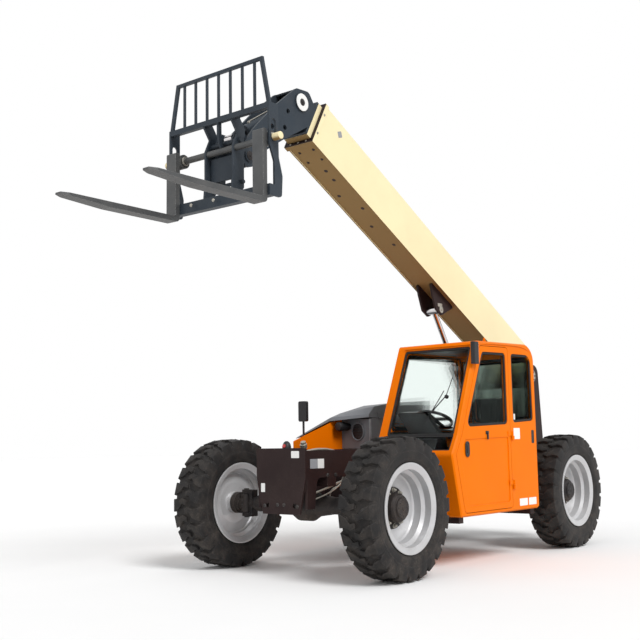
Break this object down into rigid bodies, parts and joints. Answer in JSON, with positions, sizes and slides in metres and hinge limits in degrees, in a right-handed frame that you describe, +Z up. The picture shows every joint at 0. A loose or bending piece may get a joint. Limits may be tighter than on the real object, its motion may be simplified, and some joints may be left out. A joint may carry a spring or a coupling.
{
  "type": "telehandler",
  "caption": "Four-wheel telescopic handler with a side cab, side engine hood and a raised two-section boom carrying pallet forks.",
  "frame": {"origin": "centre of the machine's bounding box at ground level", "axes": "+X forward along the machine, +Y to its left (the cab side), +Z up"},
  "size_m": [7.0699, 2.406, 4.6608],
  "materials": {
    "chassis_paint": "satin dark brown paint",
    "steel": "bare machined steel",
    "engine_iron": "painted cast iron",
    "orange_paint": "gloss orange enamel",
    "grey_plastic": "textured moulded plastic",
    "tinted_glass": "green tinted safety glass",
    "seat_cover": "black woven seat cloth",
    "black_plastic": "black moulded plastic",
    "axle_iron": "black painted casting",
    "cream_paint": "gloss cream enamel",
    "slate_paint": "satin slate blue paint",
    "rod_chrome": "hard chrome",
    "fork_steel": "worn grey forged steel",
    "tyre_rubber": "dusty black rubber",
    "silver_paint": "silver painted steel"
  },
  "bodies": {
    "chassis": {"frame": "chassis_paint", "boom_pin": "steel", "counterweight": "chassis_paint", "engine_block": "engine_iron", "engine_cover": "orange_paint", "hood_grille": "grey_plastic", "cab_frame": "orange_paint", "cab_glass": "tinted_glass", "seat": "seat_cover", "console": "black_plastic", "fuel_tank": "black_plastic", "mirrors": "black_plastic", "lamps": "black_plastic", "front_axle": "axle_iron", "rear_axle": "axle_iron"},
    "hood": {"hood_lid": "grey_plastic"},
    "door": {"door": "orange_paint", "door_glass": "tinted_glass"},
    "boom": {"outer_boom": "cream_paint", "lift_bracket": "chassis_paint"},
    "boom_inner": {"inner_boom": "cream_paint", "boom_head": "slate_paint"},
    "lift_cylinder": {"lift_barrel": "chassis_paint"},
    "lift_piston": {"lift_rod": "rod_chrome"},
    "tilt_cylinder": {"tilt_barrel": "slate_paint"},
    "tilt_piston": {"tilt_rod": "rod_chrome"},
    "carriage": {"coupler": "slate_paint", "carriage_frame": "slate_paint", "fork_shaft": "steel", "fork_left": "fork_steel", "fork_right": "fork_steel"},
    "front_steering_rod": {"front_tie_rod": "steel"},
    "rear_steering_rod": {"rear_tie_rod": "steel"},
    "knuckle_front_left": {"knuckle_front_left": "axle_iron"},
    "wheel_front_left": {"tyre_front_left": "tyre_rubber", "rim_front_left": "silver_paint"},
    "knuckle_front_right": {"knuckle_front_right": "axle_iron"},
    "wheel_front_right": {"tyre_front_right": "tyre_rubber", "rim_front_right": "silver_paint"},
    "knuckle_rear_left": {"knuckle_rear_left": "axle_iron"},
    "wheel_rear_left": {"tyre_rear_left": "tyre_rubber", "rim_rear_left": "silver_paint"},
    "knuckle_rear_right": {"knuckle_rear_right": "axle_iron"},
    "wheel_rear_right": {"tyre_rear_right": "tyre_rubber", "rim_rear_right": "silver_paint"}
  },
  "joints": [
    {"name": "boom_lift", "type": "hinge", "parent": "chassis", "child": "boom", "pos_m": [-3.065, 0, 2.02], "axis": [0, -1, 0], "range_deg": [-35, 28]},
    {"name": "boom_extend", "type": "slide", "parent": "boom", "child": "boom_inner", "axis": [0.8829, 0, 0.4695], "range_m": [0, 2]},
    {"name": "carriage_tilt", "type": "hinge", "parent": "boom_inner", "child": "carriage", "pos_m": [1.975, 0, 3.82], "axis": [0, 1, 0], "range_deg": [-42, 70]},
    {"name": "lift_cylinder_turn", "type": "hinge", "parent": "chassis", "child": "lift_cylinder", "pos_m": [-2.465, 0, 0.92], "axis": [0, -1, 0], "range_deg": [-30, 25]},
    {"name": "lift_cylinder_stroke", "type": "slide", "parent": "lift_cylinder", "child": "lift_piston", "axis": [0.5495, 0, 0.8355], "range_m": [-0.75, 0.65]},
    {"name": "tilt_cylinder_turn", "type": "hinge", "parent": "boom_inner", "child": "tilt_cylinder", "pos_m": [1.225, 0, 4.52], "axis": [0, 1, 0], "range_deg": [-3, 3]},
    {"name": "tilt_cylinder_stroke", "type": "slide", "parent": "tilt_cylinder", "child": "tilt_piston", "axis": [0.8428, 0, -0.5382], "range_m": [-0.15, 0.22]},
    {"name": "front_left_steer", "type": "hinge", "parent": "chassis", "child": "knuckle_front_left", "pos_m": [1.035, 0.8, 0.635], "axis": [0, 0, 1], "range_deg": [-35, 35]},
    {"name": "front_right_steer", "type": "hinge", "parent": "chassis", "child": "knuckle_front_right", "pos_m": [1.035, -0.8, 0.635], "axis": [0, 0, 1], "range_deg": [-35, 35]},
    {"name": "front_steering_stroke", "type": "slide", "parent": "chassis", "child": "front_steering_rod", "axis": [0, 1, 0], "range_m": [-0.115, 0.115]},
    {"name": "rear_left_steer", "type": "hinge", "parent": "chassis", "child": "knuckle_rear_left", "pos_m": [-2.345, 0.8, 0.635], "axis": [0, 0, 1], "range_deg": [-35, 35]},
    {"name": "rear_right_steer", "type": "hinge", "parent": "chassis", "child": "knuckle_rear_right", "pos_m": [-2.345, -0.8, 0.635], "axis": [0, 0, 1], "range_deg": [-35, 35]},
    {"name": "rear_steering_stroke", "type": "slide", "parent": "chassis", "child": "rear_steering_rod", "axis": [0, 1, 0], "range_m": [-0.115, 0.115]},
    {"name": "front_left_wheel", "type": "hinge", "parent": "knuckle_front_left", "child": "wheel_front_left", "pos_m": [1.035, 1.025, 0.635], "axis": [0, 1, 0], "continuous": true},
    {"name": "front_right_wheel", "type": "hinge", "parent": "knuckle_front_right", "child": "wheel_front_right", "pos_m": [1.035, -1.025, 0.635], "axis": [0, 1, 0], "continuous": true},
    {"name": "rear_left_wheel", "type": "hinge", "parent": "knuckle_rear_left", "child": "wheel_rear_left", "pos_m": [-2.345, 1.025, 0.635], "axis": [0, 1, 0], "continuous": true},
    {"name": "rear_right_wheel", "type": "hinge", "parent": "knuckle_rear_right", "child": "wheel_rear_right", "pos_m": [-2.345, -1.025, 0.635], "axis": [0, 1, 0], "continuous": true},
    {"name": "cab_door", "type": "hinge", "parent": "chassis", "child": "door", "pos_m": [-0.903, 1.162, 1.3], "axis": [0, 0, 1], "range_deg": [0, 110]},
    {"name": "hood_hinge", "type": "hinge", "parent": "chassis", "child": "hood", "pos_m": [-0.845, -0.237, 1.48], "axis": [-1, 0, 0], "range_deg": [0, 50]}
  ],
  "couplings": [
    {"joint": "lift_cylinder_turn", "follows": "boom_lift", "ratio": 0.744},
    {"joint": "lift_cylinder_stroke", "follows": "boom_lift", "m_per_rad": 1.12},
    {"joint": "tilt_cylinder_turn", "follows": "carriage_tilt", "ratio": 0.015},
    {"joint": "tilt_cylinder_stroke", "follows": "carriage_tilt", "m_per_rad": 0.159},
    {"joint": "front_right_steer", "follows": "front_left_steer", "ratio": 1},
    {"joint": "front_steering_stroke", "follows": "front_left_steer", "m_per_rad": -0.178},
    {"joint": "rear_right_steer", "follows": "rear_left_steer", "ratio": 1},
    {"joint": "rear_steering_stroke", "follows": "rear_left_steer", "m_per_rad": 0.178}
  ]
}
